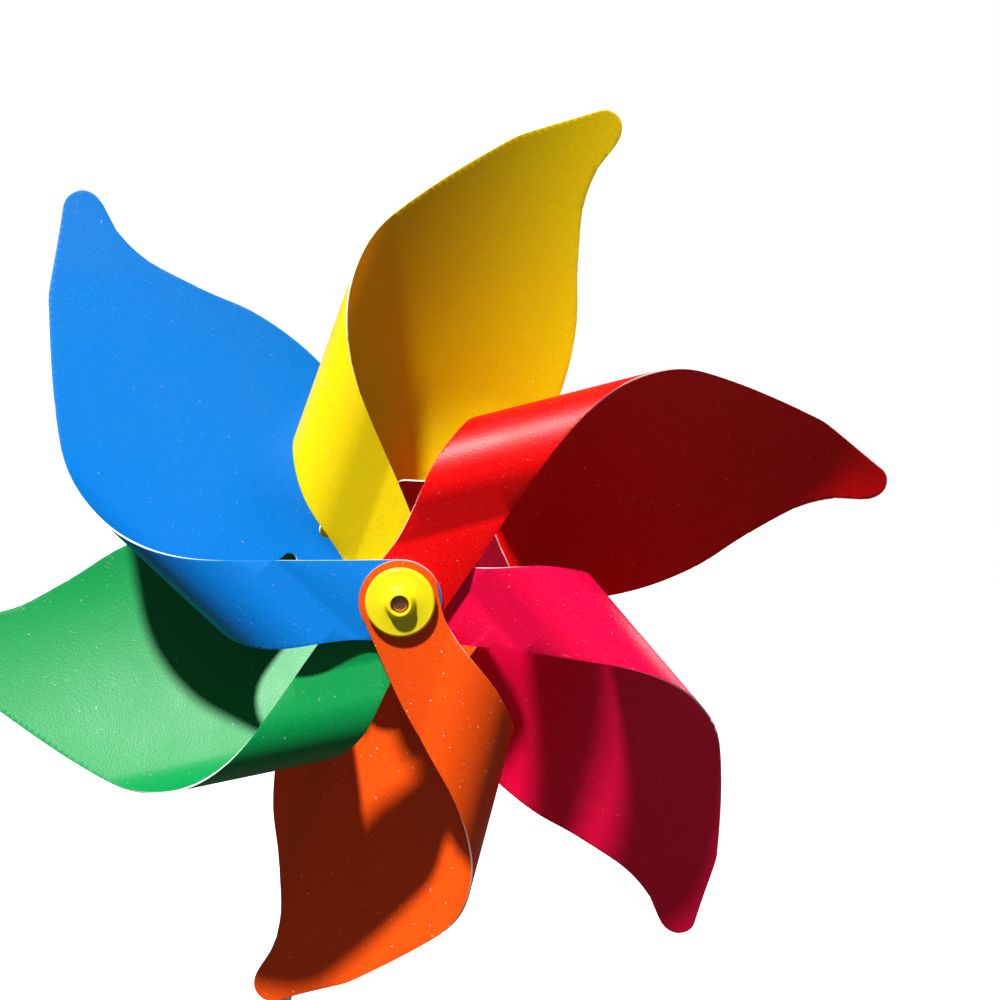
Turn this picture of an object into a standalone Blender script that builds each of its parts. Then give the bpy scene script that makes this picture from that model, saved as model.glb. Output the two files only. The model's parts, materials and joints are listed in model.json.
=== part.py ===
"""Toy pinwheel: six folded plastic petals on a hub, turning on a pin at the top of a stick.

Metres, +Z up. The stick stands on the origin, the rotor turns about a line along Y,
and the front of the rotor faces -Y.
"""
from math import cos, pi, radians, sin, tan

import bmesh
import bpy
from mathutils import Vector
from mathutils.geometry import interpolate_bezier

MM = 0.001

# ---- driving dimensions, in millimetres and degrees ---------------------------------
SHEET = 0.4                 # thickness of the petal sheet
LAYER = 0.6                 # pitch of the sheets stacked at the hub
HOLE_R = 2.2                # holes punched in the petals for the hub's spigots
ROOT_LOBE_R = 7.6           # round foot of a petal, about its root's hole
STRAP_LOBE_R = 8.7          # round end of its strap, about the strap's hole
ROOT_RUN = 26.6             # slope from the rear disc to the fold, corner to tangent
ROOT_PITCH = radians(43.5)  # slope of the leaf, from where the rear disc lets go of it
STRAP_PITCH = radians(17.5) # slope of the strap, from where the front disc lets go of it
ROOT_FLAT = 8.0             # radius that the rear disc holds flat
STRAP_FLAT = 11.0           # radius that the front disc holds flat
EASE_R = 5.0                # radius between a flat and its slope
TIP_R = 4.4                 # round tip of the leaf
TIP_S, TIP_T = 7.7, 110.6   # centre of the tip's round on the flat sheet
HUB_SPACING = 35.4          # from the rear stack of sheets to the front stack

AXIS_Z = 330.0              # height of the rotor's axis over the foot of the stick
REAR_FACE_Y = -15.8         # rear face of the rear stack of sheets
RED_ANGLE = 29.5            # direction of the red petal's fold line, from +X towards +Z

GAP = 0.3                   # clearance between pieces that touch
EDGE = 0.4                  # chamfer on moulded edges
DISC_R = 7.3                # flanges of the two hub caps
DISC_T = 1.5
NOSE_R = 3.1                # stepped nose of the front cap
NOSE_L = 2.2
NOSE_FLARE = 0.9            # widening of the nose where it meets the flange
HEAD_BORE_R = 1.9           # recess in the nose for the head of the pin
COLLAR_R, COLLAR_L = 3.4, 1.5   # collar on the back of the rear cap
SPIGOT_R = 1.9              # ends of the hub core, through the sheets
BARREL_R = 4.5              # shoulders of the hub core, at the two stacks
WAIST_R = 3.5               # and between them
SHOULDER_L = 1.2
BORE_R = 1.3                # running bore on the pin
PIN_R = 1.0
PIN_HEAD_R, PIN_HEAD_L = 1.6, 1.0
PIN_TAIL = 2.4              # length of pin behind the stick head
PIN_FIT = 0.15              # clearance of the pin in the stick head
STOP_R, STOP_L = 2.9, 1.5
BEAD_R, BEAD_L = 3.4, 5.0
BEAD_ROUND = 1.0
STICK_R, STICK_BORE_R = 3.0, 2.2
SLEEVE_R = 4.3              # stick head, round the top of the stick
SLEEVE_FOOT = -24.0         # lower end of the sleeve, from the axis
SLEEVE_CROWN = 5.2          # its top, from the axis
SOCKET_ROOF = -4.8          # top of the stick's socket, from the axis
BOSS_R = 3.8                # stick head, round the pin
BOSS_FRONT_Y, BOSS_REAR_Y = -7.0, 6.0
PLUG_FLANGE = 2.0
PLUG_R, PLUG_L = 2.0, 10.0  # shank of the end plug, inside the stick

ROUND = 28                  # sides of the round pieces
FACET = radians(14)         # turn of the sheet from one crease to the next

# name, colour, degrees off its sixth of a turn, layer at the rear, layer at the front, and
# how much shorter than ROOT_RUN its slope is, where it was folded more tightly
PETALS = (
    ("red", (0.80, 0.00, 0.00), 1.3, 5, 3, 0.0),
    ("yellow", (0.87, 0.62, 0.00), -3.2, 4, 2, 0.0),
    ("blue", (0.00, 0.20, 0.75), 2.7, 3, 4, 0.0),
    ("green", (0.00, 0.40, 0.08), -1.1, 2, 1, 0.0),
    ("orange", (0.90, 0.11, 0.00), 2.7, 1, 5, 3.6),
    ("pink", (0.80, 0.00, 0.05), -2.5, 0, 0, 0.0),
)
LAYERS = len(PETALS)


# ---- shared tools -------------------------------------------------------------------
def clear_scene():
    for obj in list(bpy.data.objects):
        bpy.data.objects.remove(obj, do_unlink=True)


def plastic(name, colour, roughness):
    material = bpy.data.materials.new(name)
    material.use_nodes = True
    shader = material.node_tree.nodes["Principled BSDF"]
    shader.inputs["Base Color"].default_value = (*colour, 1.0)
    shader.inputs["Roughness"].default_value = roughness
    shader.inputs["Metallic"].default_value = 0.0
    return material


def metal(name, colour, roughness):
    material = plastic(name, colour, roughness)
    material.node_tree.nodes["Principled BSDF"].inputs["Metallic"].default_value = 1.0
    return material


def add_object(name, bm, material, parent=None):
    """Turn a bmesh in millimetres into a named object in metres."""
    bmesh.ops.scale(bm, vec=(MM, MM, MM), verts=bm.verts)
    mesh = bpy.data.meshes.new(name)
    bm.to_mesh(mesh)
    bm.free()
    mesh.materials.append(material)
    mesh.shade_smooth()
    mesh.set_sharp_from_angle(angle=radians(35))
    obj = bpy.data.objects.new(name, mesh)
    bpy.context.scene.collection.objects.link(obj)
    obj.parent = parent
    return obj


def turned(profile, axis):
    """Turn a closed profile of (radius, height) points about the Y or the Z axis."""
    bm = bmesh.new()
    if axis == "Y":
        ring = [bm.verts.new((r, h, 0.0)) for r, h in profile]
        line = Vector((0.0, 1.0, 0.0))
    else:
        ring = [bm.verts.new((r, 0.0, h)) for r, h in profile]
        line = Vector((0.0, 0.0, 1.0))
    edges = [bm.edges.new((ring[i - 1], ring[i])) for i in range(len(ring))]
    bmesh.ops.spin(bm, geom=ring + edges, cent=(0, 0, 0), axis=line, angle=2 * pi, steps=ROUND)
    bmesh.ops.remove_doubles(bm, verts=bm.verts, dist=1e-4)
    bmesh.ops.recalc_face_normals(bm, faces=bm.faces)
    return bm


def arc(centre, radius, start, end, steps):
    """Points on an arc, with both ends, angles in degrees."""
    points = []
    for i in range(steps + 1):
        angle = radians(start + (end - start) * i / steps)
        points.append((centre[0] + radius * cos(angle), centre[1] + radius * sin(angle)))
    return points


def curve_through(points, steps):
    """A smooth curve through the points, without its two ends."""
    vectors = [Vector((x, y, 0.0)) for x, y in points]
    slopes = []
    for i, here in enumerate(vectors):
        before = vectors[max(i - 1, 0)]
        after = vectors[min(i + 1, len(vectors) - 1)]
        slopes.append((after - before).normalized())
    result = []
    for i in range(len(vectors) - 1):
        handle = (vectors[i + 1] - vectors[i]).length / 3
        piece = interpolate_bezier(vectors[i], vectors[i] + slopes[i] * handle,
                                   vectors[i + 1] - slopes[i + 1] * handle, vectors[i + 1], steps + 1)
        result.extend((p.x, p.y) for p in piece[:-1])
    return result[1:]


# ---- the petal ----------------------------------------------------------------------
# A petal is cut from a flat sheet and bent round a fold whose straight lines all run
# along T. S is measured along the sheet, across the fold: the root's hole is at S = 0
# and the strap's hole is at S = -length, both on T = 0.

def fold_segments(rise, root_run):
    """(length, turn) along the sheet from the root's hole to the strap's hole.

    The fold's radius and the strap's straight run are what brings the strap's hole back
    over the root's, one rise in front of it.
    """
    ease_root = EASE_R * tan(ROOT_PITCH / 2)
    ease_strap = EASE_R * tan(STRAP_PITCH / 2)
    back = ROOT_FLAT + ease_root + root_run * cos(ROOT_PITCH) - STRAP_FLAT - ease_strap
    up = rise - root_run * sin(ROOT_PITCH)
    # back = radius (sin root + sin strap) + run cos strap
    # up = radius (cos root + cos strap) - run sin strap
    sines = sin(ROOT_PITCH) + sin(STRAP_PITCH)
    cosines = cos(ROOT_PITCH) + cos(STRAP_PITCH)
    radius = (up + back * tan(STRAP_PITCH)) / (cosines + sines * tan(STRAP_PITCH))
    run = (back - radius * sines) / cos(STRAP_PITCH)
    turn = pi - ROOT_PITCH + STRAP_PITCH
    return [
        (ROOT_FLAT, 0.0),
        (EASE_R * ROOT_PITCH, ROOT_PITCH),
        (root_run - ease_root, 0.0),
        (radius * turn, turn),
        (run - ease_strap, 0.0),
        (EASE_R * STRAP_PITCH, -STRAP_PITCH),
        (STRAP_FLAT, 0.0),
    ]


def leaf_segments():
    """The same for the other side of the root's hole, where the leaf slopes back."""
    return [(ROOT_FLAT, 0.0), (EASE_R * ROOT_PITCH, ROOT_PITCH), (100.0, 0.0)]


def walk(distance, segments):
    """Place along a bent strip: (along, up, angle) after the distance, straight on past its end."""
    along, up, angle, left = 0.0, 0.0, 0.0, distance
    for length, turn in segments + [(distance, 0.0)]:
        step = min(left, length)
        if abs(turn) < 1e-9:
            along += step * cos(angle)
            up += step * sin(angle)
        else:
            radius = length / turn
            swept = step / radius
            along += radius * (sin(angle + swept) - sin(angle))
            up += radius * (cos(angle) - cos(angle + swept))
            angle += swept
        left -= step
        if left <= 0.0:
            break
    return along, up, angle


def bent_point(s, t, offset, fold):
    """The place of a point of the flat sheet, offset along the sheet's front normal."""
    if s <= 0.0:
        along, up, angle = walk(-s, fold)
        x, height = -along, up
        normal_x, normal_up = sin(angle), cos(angle)
    else:
        along, up, angle = walk(s, leaf_segments())
        x, height = along, -up
        normal_x, normal_up = sin(angle), cos(angle)
    return Vector((x + offset * normal_x, -(height + offset * normal_up), t))


def bend_lines(fold):
    """The values of S where the flat sheet is creased into facets."""
    lines = []
    for segments, side in ((fold[:-1], -1), (leaf_segments()[:2], 1)):
        start = 0.0
        for length, turn in segments:
            pieces = max(2, round(abs(turn) / FACET)) if turn else 1
            lines.extend(side * (start + length * i / pieces) for i in range(1, pieces + 1))
            start += length
    return lines


def petal_outline(length):
    """Outline of the flat petal, counterclockwise, as runs of points."""
    strap_end = (-length, 0.0)
    outline = arc(strap_end, STRAP_LOBE_R, 135, 315, 10)
    # inner edge of the strap, then along the foot of the leaf to the head of the notch
    outline += curve_through([outline[-1], (-71.5, 2.6), (-59.0, 12.6), (-48.5, 22.0), (-38.0, 25.6),
                              (-27.0, 24.0), (-18.2, 23.0)], 3)
    outline += arc((-18.0, 21.4), 1.6, 90, -50, 4)
    # down the edge of the leg, round its corner, and in to the root
    outline += curve_through([outline[-1], (-21.6, 15.5), (-25.4, 7.0)], 2)
    outline += arc((-23.9, 4.9), 2.4, 160, 270, 4)
    outline += arc((0.0, 0.0), ROOT_LOBE_R, 160, 470, 18)
    # the leg's inner edge and the trailing edge of the leaf, up to the tip
    outline += curve_through([outline[-1], (-5.7, 12.2), (-4.9, 14.6), (1.3, 18.6), (10.0, 23.6),
                              (17.5, 26.6), (21.6, 36.0), (23.2, 52.0), (20.4, 66.5),
                              (14.2, 79.0), (9.6, 91.0), (9.2, 101.0), (12.0, 109.4)], 3)
    outline += arc((TIP_S, TIP_T), TIP_R, -10, 130, 8)
    # leading edge, back to the strap's end
    outline += curve_through([outline[-1], (-12.1, 100.0), (-28.9, 84.0), (-40.6, 70.0), (-50.4, 54.0),
                              (-61.5, 38.0), (-76.3, 22.0), outline[0]], 4)
    return outline


def punched_face(bm, centre):
    """Refill the face that holds the centre, with a round hole in it."""
    for face in bm.faces:
        xs = [v.co.x for v in face.verts]
        ys = [v.co.y for v in face.verts]
        if min(xs) < centre[0] < max(xs) and min(ys) < centre[1] < max(ys):
            break
    edges = list(face.edges)
    bmesh.ops.delete(bm, geom=[face], context="FACES_ONLY")
    rim = [bm.verts.new((x, y, 0.0)) for x, y in arc(centre, HOLE_R, 0, 360, 14)[:-1]]
    edges += [bm.edges.new((rim[i - 1], rim[i])) for i in range(len(rim))]
    bmesh.ops.triangle_fill(bm, use_beauty=True, use_dissolve=False, edges=edges)


def petal_mesh(fold):
    """One petal, bent and thickened, with its root's hole at the origin."""
    length = sum(run for run, turn in fold)
    bm = bmesh.new()
    bm.faces.new([bm.verts.new((s, t, 0.0)) for s, t in petal_outline(length)])
    for s in bend_lines(fold):
        bmesh.ops.bisect_plane(bm, geom=bm.verts[:] + bm.edges[:] + bm.faces[:], dist=1e-5,
                               plane_co=(s, 0, 0), plane_no=(1, 0, 0))
    punched_face(bm, (0.0, 0.0))
    punched_face(bm, (-length, 0.0))
    bmesh.ops.triangulate(bm, faces=bm.faces[:])
    between_creases = [e for e in bm.edges if abs(e.verts[0].co.x - e.verts[1].co.x) > 1e-4]
    bmesh.ops.beautify_fill(bm, faces=bm.faces[:], edges=between_creases)
    bm.normal_update()
    bm.verts.index_update()
    triangles = []
    for face in bm.faces:
        corners = [v.index for v in face.verts]
        triangles.append(corners if face.normal.z > 0 else corners[::-1])
    flat = [(v.co.x, v.co.y) for v in bm.verts]
    borders = set()
    for a, b, c in triangles:
        for pair in ((a, b), (b, c), (c, a)):
            borders.add(pair)
    borders = {pair for pair in borders if (pair[1], pair[0]) not in borders}
    bm.free()

    bm = bmesh.new()
    front = [bm.verts.new(bent_point(s, t, SHEET / 2, fold)) for s, t in flat]
    back = [bm.verts.new(bent_point(s, t, -SHEET / 2, fold)) for s, t in flat]
    for a, b, c in triangles:
        bm.faces.new((front[a], front[b], front[c]))
        bm.faces.new((back[c], back[b], back[a]))
    for a, b in borders:
        bm.faces.new((front[b], front[a], back[a], back[b]))
    bmesh.ops.triangulate(bm, faces=[f for f in bm.faces if len(f.verts) > 3])
    return bm


def build_petals(rotor):
    for index, (colour_name, colour, off, rear_layer, front_layer, shorter) in enumerate(PETALS):
        rise = HUB_SPACING + LAYER * (front_layer - rear_layer)
        fold = fold_segments(rise, ROOT_RUN - shorter)
        name = "blade_" + colour_name
        blade = add_object(name, petal_mesh(fold), plastic(name, colour, 0.38), rotor)
        angle = RED_ANGLE + index * 360 / len(PETALS) + off
        blade.location.y = -(rear_layer * LAYER + SHEET / 2) * MM
        blade.rotation_euler.y = radians(90 - angle)


# ---- the hub ------------------------------------------------------------------------
# Depths are measured forwards from the rear face of the rear stack of sheets.

STACK = (LAYERS - 1) * LAYER + SHEET
FRONT_STACK = HUB_SPACING                       # where the front stack starts
FRONT_CAP = FRONT_STACK + STACK + GAP           # rear face of the front cap
FRONT_DISC = FRONT_CAP + DISC_T                 # front face of its flange
NOSE_END = FRONT_DISC + NOSE_L
REAR_DISC = -GAP - DISC_T                       # rear face of the rear cap's flange
SOCKET = 0.9                                    # depth of the caps' sockets on the spigots
WEB = 0.6                                       # floor between a socket and the pin's recess
RECESS = FRONT_CAP + SOCKET + WEB               # floor of the recess for the pin's head


def forwards(profile):
    """A profile of (radius, depth) points as (radius, y) points about the rotor's centre."""
    return [(radius, -depth) for radius, depth in profile]


def build_front_cap(rotor):
    profile = [
        (HOLE_R, FRONT_CAP), (DISC_R, FRONT_CAP), (DISC_R, FRONT_DISC - EDGE), (DISC_R - EDGE, FRONT_DISC),
        (NOSE_R + NOSE_FLARE, FRONT_DISC), (NOSE_R + 0.2, FRONT_DISC + 0.3),
        (NOSE_R, FRONT_DISC + 0.9), (NOSE_R - 0.25, FRONT_DISC + 1.1),
        (NOSE_R - 0.35, NOSE_END - EDGE), (NOSE_R - 0.65, NOSE_END),
        (HEAD_BORE_R, NOSE_END), (HEAD_BORE_R, RECESS),
        (BORE_R, RECESS), (BORE_R, FRONT_CAP + SOCKET), (HOLE_R, FRONT_CAP + SOCKET),
    ]
    bm = turned(forwards(profile), "Y")
    add_object("front_cap", bm, plastic("front_cap", (0.85, 0.72, 0.02), 0.3), rotor)


def build_hub_core(rotor):
    spigot_front = FRONT_CAP + SOCKET - GAP
    rear, front = STACK + GAP, FRONT_STACK - GAP
    slope = SHOULDER_L + BARREL_R - WAIST_R
    profile = [
        (BORE_R, -SOCKET), (SPIGOT_R, -SOCKET), (SPIGOT_R, rear),
        (BARREL_R, rear), (BARREL_R, rear + SHOULDER_L), (WAIST_R, rear + slope),
        (WAIST_R, front - slope), (BARREL_R, front - SHOULDER_L), (BARREL_R, front),
        (SPIGOT_R, front), (SPIGOT_R, spigot_front), (BORE_R, spigot_front),
    ]
    bm = turned(forwards(profile), "Y")
    add_object("hub_core", bm, plastic("hub_core", (0.86, 0.86, 0.84), 0.4), rotor)


def build_rear_cap(rotor):
    socket = -GAP - SOCKET
    end = REAR_DISC - COLLAR_L
    profile = [
        (HOLE_R, -GAP), (HOLE_R, socket), (BORE_R, socket), (BORE_R, end),
        (COLLAR_R, end), (COLLAR_R + 0.3, REAR_DISC), (DISC_R - EDGE, REAR_DISC),
        (DISC_R, REAR_DISC + EDGE), (DISC_R, -GAP),
    ]
    bm = turned(forwards(profile), "Y")
    add_object("rear_cap", bm, plastic("rear_cap", (0.85, 0.72, 0.02), 0.3), rotor)


# ---- the pin and the stick ----------------------------------------------------------
# Places are measured from the point on the axis over the middle of the stick.

def build_bead(bead_axis):
    front = REAR_FACE_Y - REAR_DISC + COLLAR_L + GAP
    rear = front + BEAD_L
    profile = [
        (BORE_R, front), (BEAD_R - BEAD_ROUND, front), (BEAD_R, front + BEAD_ROUND),
        (BEAD_R, rear - BEAD_ROUND), (BEAD_R - BEAD_ROUND, rear), (BORE_R, rear),
    ]
    add_object("spacer_bead", turned(profile, "Y"), plastic("spacer_bead", (0.9, 0.9, 0.88), 0.35), bead_axis)


def build_axle_pin(stand):
    seat = REAR_FACE_Y - RECESS - GAP
    head = seat - PIN_HEAD_L
    end = BOSS_REAR_Y + PIN_TAIL
    profile = [
        (0.0, head), (PIN_HEAD_R - 0.3, head), (PIN_HEAD_R, head + 0.3),
        (PIN_HEAD_R, seat), (PIN_R, seat), (PIN_R, end - EDGE), (PIN_R - EDGE, end), (0.0, end),
    ]
    add_object("axle_pin", turned(profile, "Y"), metal("axle_pin", (0.66, 0.3, 0.19), 0.3), stand)


def build_rear_stop(stand):
    front = BOSS_REAR_Y + GAP
    rear = front + STOP_L
    bore = PIN_R + PIN_FIT
    profile = [(bore, front), (STOP_R, front), (STOP_R, rear - 0.6), (STOP_R - 0.7, rear), (bore, rear)]
    add_object("rear_stop", turned(profile, "Y"), plastic("rear_stop", (0.86, 0.86, 0.84), 0.4), stand)


def build_stick_head(stand):
    """Sleeve on the top of the stick, with a boss across it that holds the pin."""
    sleeve = turned([
        (0.0, SLEEVE_CROWN), (SLEEVE_R - 1.0, SLEEVE_CROWN), (SLEEVE_R, SLEEVE_CROWN - 1.0),
        (SLEEVE_R, SLEEVE_FOOT + 2 * EDGE), (SLEEVE_R - EDGE, SLEEVE_FOOT),
        (STICK_R + GAP, SLEEVE_FOOT), (STICK_R + GAP, SOCKET_ROOF), (0.0, SOCKET_ROOF),
    ], "Z")
    boss = turned([
        (0.0, BOSS_FRONT_Y), (BOSS_R - EDGE, BOSS_FRONT_Y), (BOSS_R, BOSS_FRONT_Y + EDGE),
        (BOSS_R, BOSS_REAR_Y - EDGE), (BOSS_R - EDGE, BOSS_REAR_Y), (0.0, BOSS_REAR_Y),
    ], "Y")
    bore_r, reach = PIN_R + PIN_FIT, 2 * BOSS_REAR_Y
    bore = turned([(0.0, -reach), (bore_r, -reach), (bore_r, reach), (0.0, reach)], "Y")
    material = plastic("stick_head", (0.86, 0.86, 0.84), 0.4)
    head = add_object("stick_head", sleeve, material, stand)
    for name, bm, operation in (("boss_tool", boss, "UNION"), ("bore_tool", bore, "DIFFERENCE")):
        tool = add_object(name, bm, material, stand)
        tool.hide_render = True
        tool.display_type = "WIRE"
        cut = head.modifiers.new(name, "BOOLEAN")
        cut.object = tool
        cut.operation = operation


def build_stick(stand):
    foot, top = PLUG_FLANGE + GAP - AXIS_Z, SOCKET_ROOF - GAP
    profile = [(STICK_BORE_R, foot), (STICK_R, foot), (STICK_R, top), (STICK_BORE_R, top)]
    add_object("stick", turned(profile, "Z"), plastic("stick", (0.88, 0.88, 0.86), 0.35), stand)


def build_end_plug(stand):
    foot = -AXIS_Z
    flange_r = STICK_R + EDGE
    profile = [
        (0.0, foot), (flange_r - EDGE, foot), (flange_r, foot + EDGE), (flange_r, foot + PLUG_FLANGE),
        (PLUG_R, foot + PLUG_FLANGE), (PLUG_R, foot + PLUG_L - 1.0), (PLUG_R - 0.5, foot + PLUG_L),
        (0.0, foot + PLUG_L),
    ]
    add_object("stick_plug", turned(profile, "Z"), plastic("stick_plug", (0.85, 0.72, 0.02), 0.35), stand)


def empty(name, y):
    holder = bpy.data.objects.new(name, None)
    bpy.context.scene.collection.objects.link(holder)
    holder.location = (0.0, y * MM, AXIS_Z * MM)
    return holder


def main():
    clear_scene()
    rotor = empty("rotor_axis", REAR_FACE_Y)
    build_petals(rotor)
    build_front_cap(rotor)
    build_hub_core(rotor)
    build_rear_cap(rotor)
    build_bead(empty("bead_axis", 0.0))
    stand = empty("stand_axis", 0.0)
    build_axle_pin(stand)
    build_rear_stop(stand)
    build_stick_head(stand)
    build_stick(stand)
    build_end_plug(stand)


main()
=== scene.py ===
"""Looks of the toy pinwheel: smooth petals, moulded hub and stick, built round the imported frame.

Metres, +Z up, the rotor's front faces -Y. Sizes in the property groups are in metres; the
petal's cut and its fold are set out in millimetres, as a pattern cutter would draw them.
"""
import json
from math import ceil, cos, pi, radians, sin, tan

import bpy
from bpy.props import FloatProperty, FloatVectorProperty, IntProperty, PointerProperty
from mathutils import Matrix, Vector
from mathutils.geometry import interpolate_bezier


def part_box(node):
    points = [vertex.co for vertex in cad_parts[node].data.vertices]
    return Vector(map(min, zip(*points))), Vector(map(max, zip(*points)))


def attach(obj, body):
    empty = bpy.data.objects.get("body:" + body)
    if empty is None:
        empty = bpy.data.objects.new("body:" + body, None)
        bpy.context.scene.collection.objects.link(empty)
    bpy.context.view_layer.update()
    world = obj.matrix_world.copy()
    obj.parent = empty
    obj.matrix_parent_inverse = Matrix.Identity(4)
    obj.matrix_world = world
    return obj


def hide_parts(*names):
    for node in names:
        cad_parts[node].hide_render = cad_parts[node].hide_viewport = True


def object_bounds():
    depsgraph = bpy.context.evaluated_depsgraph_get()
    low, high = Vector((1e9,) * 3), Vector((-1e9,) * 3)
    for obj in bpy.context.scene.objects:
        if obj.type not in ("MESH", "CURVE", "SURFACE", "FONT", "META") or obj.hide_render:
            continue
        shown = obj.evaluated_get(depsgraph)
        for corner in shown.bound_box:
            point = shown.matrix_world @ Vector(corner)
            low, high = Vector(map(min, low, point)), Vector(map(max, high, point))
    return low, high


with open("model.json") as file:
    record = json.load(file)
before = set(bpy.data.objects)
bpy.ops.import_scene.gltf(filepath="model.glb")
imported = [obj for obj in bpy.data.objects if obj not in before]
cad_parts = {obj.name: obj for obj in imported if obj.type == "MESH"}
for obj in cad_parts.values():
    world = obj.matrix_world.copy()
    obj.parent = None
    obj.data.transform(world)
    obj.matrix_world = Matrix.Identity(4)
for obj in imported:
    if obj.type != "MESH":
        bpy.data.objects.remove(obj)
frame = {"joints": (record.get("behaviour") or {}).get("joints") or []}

bl_info = {
    "name": "Toy Pinwheel",
    "version": (1, 0, 0),
    "blender": (4, 5, 0),
    "location": "3D View > Sidebar > Pinwheel",
    "description": "Builds the petals, hub and stick of a toy pinwheel",
    "category": "Object",
}

MM = 0.001
CAD_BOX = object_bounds()
AXIS = Vector(next(joint["pos_m"] for joint in frame["joints"] if joint["name"] == "rotor_spin"))

# ---- the petal's pattern, in millimetres and degrees ----------------------------------
SHEET = 0.4                 # thickness of the sheet
LAYER = 0.6                 # pitch of the sheets stacked at the hub
HOLE_R = 2.2
ROOT_LOBE_R = 7.6           # round foot of the petal, about the root's hole
STRAP_LOBE_R = 8.7          # round end of the strap, about the strap's hole
ROOT_RUN = 26.6             # slope from the rear disc to the fold, corner to tangent
ROOT_PITCH = radians(43.5)
STRAP_PITCH = radians(17.5)
ROOT_FLAT = 8.0
STRAP_FLAT = 11.0
EASE_R = 5.0                # radius between a flat and its slope
GAP = 0.3                   # clearance between pieces that touch
EDGE = 0.4                  # chamfer on moulded edges
DISC_T = 1.5                # flanges of the two hub caps
SOCKET = 0.9                # depth of the caps' sockets for the hub core
RECESS = 1.5                # from the front cap's rear face to the seat of the pin's head
HEAD_BORE_R = 1.9           # recess in the nose for the head of the pin
NOSE_FLARE = 0.9            # widening of the nose where it meets the flange
COLLAR_R = 3.4              # collar on the back of the rear cap
SPIGOT_R, WAIST_R = 1.9, 3.5    # hub core: its ends, and between its shoulders
SHOULDER_L, SLOPE_L = 1.2, 2.2  # along the hub core, to the end of a shoulder and of its slope
BEAD_CROWN = 0.9            # how far the bead's round side stands out
PIN_R, PIN_HEAD_L = 1.0, 1.0
PIN_HOLE_R = 1.15           # hole that grips the pin
BOSS_R = 3.8                # boss of the stick head, round the pin
PLUG_R, PLUG_FLANGE = 2.0, 2.0
CLAMPED_T, FREE_T = 11.0, 46.0   # from here to there the discs' hold on the leaf fades out
LEAF_END = 20.5             # farthest place of the leaf behind the root's hole, on the folded petal
LEAF_ROWS, CROSS_ROWS = 44, 16
TIP_R = 4.4
TIP_S, TIP_T = 7.7, 110.6
HUB_SPACING = 35.4
RED_ANGLE = 29.5            # direction of the red petal's fold line, from +X towards +Z

# colour name, degrees off its sixth of a turn, layer at the rear, layer at the front, and
# how much shorter than ROOT_RUN its slope is
PETALS = (
    ("red", 1.3, 5, 3, 0.0),
    ("yellow", -3.2, 4, 2, 0.0),
    ("blue", 2.7, 3, 4, 0.0),
    ("green", -1.1, 2, 1, 0.0),
    ("orange", 2.7, 1, 5, 3.6),
    ("pink", -2.5, 0, 0, 0.0),
)


# ---- settings --------------------------------------------------------------------------
def colour_property(name, description, default):
    return FloatVectorProperty(name=name, description=description, default=default, subtype="COLOR",
                               size=3, min=0.0, max=1.0)


class PinwheelPetalSettings(bpy.types.PropertyGroup):
    """Sheet and colours of the six petals."""
    crease: FloatProperty(name="Crease", description="Turn of the sheet from one facet to the next",
                          default=radians(3.0), subtype="ANGLE")
    edge_round: FloatProperty(name="Edge rounding", description="Rounding of the die-cut edge",
                              default=0.05 * MM, unit="LENGTH")
    grain: FloatProperty(name="Grain", description="Size of the calendered grain on the sheet",
                         default=0.45 * MM, unit="LENGTH")
    red: colour_property("Red", "Colour of the red petal", (0.84, 0.0, 0.001))
    yellow: colour_property("Yellow", "Colour of the yellow petal", (0.93, 0.64, 0.0))
    blue: colour_property("Blue", "Colour of the blue petal", (0.0, 0.18, 0.60))
    green: colour_property("Green", "Colour of the green petal", (0.0, 0.25, 0.055))
    orange: colour_property("Orange", "Colour of the orange petal", (0.92, 0.085, 0.002))
    pink: colour_property("Pink", "Colour of the pink petal", (0.95, 0.0, 0.06))


class PinwheelHubSettings(bpy.types.PropertyGroup):
    """Moulded caps, core and bead."""
    sides: IntProperty(name="Sides", description="Sides of the turned pieces", default=72, min=24)
    edge_round: FloatProperty(name="Edge rounding", description="Rounding of the moulded edges",
                              default=0.16 * MM, unit="LENGTH")
    nose_radius: FloatProperty(name="Nose radius",
                               description="Radius of the stepped nose of the front cap",
                               default=3.1 * MM, unit="LENGTH")
    bore_radius: FloatProperty(name="Bore radius", description="Running bore on the pin",
                               default=1.3 * MM, unit="LENGTH")
    cap: colour_property("Caps", "Colour of the two hub caps and the end plug", (0.88, 0.74, 0.006))
    core: colour_property("Core", "Colour of the core, the bead and the stick head", (0.82, 0.82, 0.79))


class PinwheelStickSettings(bpy.types.PropertyGroup):
    """Stick, its head, and the wire pin."""
    wall: FloatProperty(name="Tube wall", description="Wall of the stick", default=0.8 * MM, unit="LENGTH")
    fillet: FloatProperty(name="Fillet", description="Size of the voxels that blend the moulded head",
                          default=0.22 * MM, unit="LENGTH")
    stick: colour_property("Stick", "Colour of the stick", (0.84, 0.84, 0.82))
    pin: colour_property("Pin", "Colour of the wire pin", (0.66, 0.30, 0.19))


class PinwheelStageSettings(bpy.types.PropertyGroup):
    """Floor, light and camera."""
    floor_size: FloatProperty(name="Floor", description="Side of the floor", default=9.0, unit="LENGTH")
    floor_colour: colour_property("Floor colour", "Colour of the floor", (0.93, 0.93, 0.93))
    backdrop: colour_property("Backdrop", "Colour behind the floor", (1.0, 1.0, 1.0))
    key: FloatProperty(name="Key light", description="Strength of the high front light", default=6.8)
    back: FloatProperty(name="Back light", description="Strength of the light from behind", default=0.8)
    fill: FloatProperty(name="Fill", description="Strength of the light from all round", default=0.12)
    softness: FloatProperty(name="Softness", description="Angle that the key light fills",
                            default=radians(4.0), subtype="ANGLE")
    lens: FloatProperty(name="Lens", description="Focal length in millimetres", default=52.87)


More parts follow.
